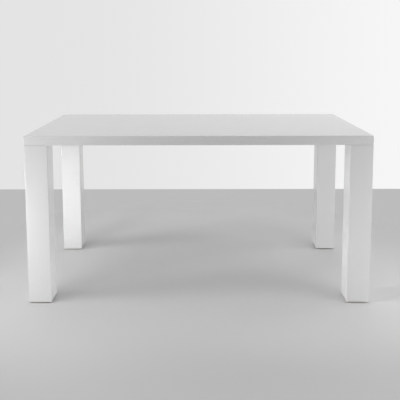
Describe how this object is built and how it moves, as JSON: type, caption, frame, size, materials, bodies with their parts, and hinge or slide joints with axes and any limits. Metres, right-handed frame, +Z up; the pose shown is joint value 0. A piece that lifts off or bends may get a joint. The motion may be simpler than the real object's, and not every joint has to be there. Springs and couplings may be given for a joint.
{
  "type": "parsons dining table",
  "caption": "White lacquered parsons dining table with a plain thick slab top on square legs flush with its corners, each on a screw-in levelling foot.",
  "frame": {"origin": "on the floor under the middle of the slab", "axes": "+X along the length to the right, +Y to the back, +Z up"},
  "size_m": [1.5, 0.8, 0.745],
  "materials": {
    "white_lacquer": "white satin lacquer on fibreboard",
    "core_board": "bare brown board strips, slotted together",
    "bare_fibreboard": "bare fibreboard",
    "timber": "planed softwood",
    "zinc_plated_steel": "bright zinc plating",
    "black_zinc": "black zinc plating",
    "black_nylon": "moulded nylon"
  },
  "bodies": {
    "table": {"back_left_corner_block": "timber", "back_left_leg_back_board": "white_lacquer", "back_left_leg_bottom_block": "timber", "back_left_leg_front_board": "white_lacquer", "back_left_leg_left_board": "white_lacquer", "back_left_leg_right_board": "white_lacquer", "back_left_leg_top_block": "timber", "back_left_mounting_plate": "zinc_plated_steel", "back_right_corner_block": "timber", "back_right_leg_back_board": "white_lacquer", "back_right_leg_bottom_block": "timber", "back_right_leg_front_board": "white_lacquer", "back_right_leg_left_board": "white_lacquer", "back_right_leg_right_board": "white_lacquer", "back_right_leg_top_block": "timber", "back_right_mounting_plate": "zinc_plated_steel", "foot_inserts": "zinc_plated_steel", "front_left_corner_block": "timber", "front_left_leg_back_board": "white_lacquer", "front_left_leg_bottom_block": "timber", "front_left_leg_front_board": "white_lacquer", "front_left_leg_left_board": "white_lacquer", "front_left_leg_right_board": "white_lacquer", "front_left_leg_top_block": "timber", "front_left_mounting_plate": "zinc_plated_steel", "front_right_corner_block": "timber", "front_right_leg_back_board": "white_lacquer", "front_right_leg_bottom_block": "timber", "front_right_leg_front_board": "white_lacquer", "front_right_leg_left_board": "white_lacquer", "front_right_leg_right_board": "white_lacquer", "front_right_leg_top_block": "timber", "front_right_mounting_plate": "zinc_plated_steel", "leg_studs": "zinc_plated_steel", "mounting_plate_screws": "zinc_plated_steel", "slab_back_rail": "white_lacquer", "slab_bottom_skin": "white_lacquer", "slab_front_rail": "white_lacquer", "slab_left_core": "core_board", "slab_left_rail": "white_lacquer", "slab_left_rib": "bare_fibreboard", "slab_middle_core": "core_board", "slab_right_core": "core_board", "slab_right_rail": "white_lacquer", "slab_right_rib": "bare_fibreboard", "slab_top_skin": "white_lacquer"},
    "front_left_glide": {"front_left_foot_glide": "black_nylon"},
    "front_left_screw": {"front_left_foot_stem": "zinc_plated_steel", "front_left_foot_disc": "black_zinc"},
    "front_right_glide": {"front_right_foot_glide": "black_nylon"},
    "front_right_screw": {"front_right_foot_stem": "zinc_plated_steel", "front_right_foot_disc": "black_zinc"},
    "back_left_glide": {"back_left_foot_glide": "black_nylon"},
    "back_left_screw": {"back_left_foot_stem": "zinc_plated_steel", "back_left_foot_disc": "black_zinc"},
    "back_right_glide": {"back_right_foot_glide": "black_nylon"},
    "back_right_screw": {"back_right_foot_stem": "zinc_plated_steel", "back_right_foot_disc": "black_zinc"}
  },
  "joints": [
    {"name": "front_left_foot_height", "type": "slide", "parent": "table", "child": "front_left_glide", "axis": [0, 0, -1], "range_m": [0, 0.01]},
    {"name": "front_left_foot_turn", "type": "hinge", "parent": "front_left_glide", "child": "front_left_screw", "pos_m": [-0.7, -0.35, 0.02], "axis": [0, 0, -1], "range_deg": [0, 2880]},
    {"name": "front_right_foot_height", "type": "slide", "parent": "table", "child": "front_right_glide", "axis": [0, 0, -1], "range_m": [0, 0.01]},
    {"name": "front_right_foot_turn", "type": "hinge", "parent": "front_right_glide", "child": "front_right_screw", "pos_m": [0.7, -0.35, 0.02], "axis": [0, 0, -1], "range_deg": [0, 2880]},
    {"name": "back_left_foot_height", "type": "slide", "parent": "table", "child": "back_left_glide", "axis": [0, 0, -1], "range_m": [0, 0.01]},
    {"name": "back_left_foot_turn", "type": "hinge", "parent": "back_left_glide", "child": "back_left_screw", "pos_m": [-0.7, 0.35, 0.02], "axis": [0, 0, -1], "range_deg": [0, 2880]},
    {"name": "back_right_foot_height", "type": "slide", "parent": "table", "child": "back_right_glide", "axis": [0, 0, -1], "range_m": [0, 0.01]},
    {"name": "back_right_foot_turn", "type": "hinge", "parent": "back_right_glide", "child": "back_right_screw", "pos_m": [0.7, 0.35, 0.02], "axis": [0, 0, -1], "range_deg": [0, 2880]}
  ],
  "couplings": [
    {"joint": "front_left_foot_height", "follows": "front_left_foot_turn", "m_per_rad": 0.00019894},
    {"joint": "front_right_foot_height", "follows": "front_right_foot_turn", "m_per_rad": 0.00019894},
    {"joint": "back_left_foot_height", "follows": "back_left_foot_turn", "m_per_rad": 0.00019894},
    {"joint": "back_right_foot_height", "follows": "back_right_foot_turn", "m_per_rad": 0.00019894}
  ]
}
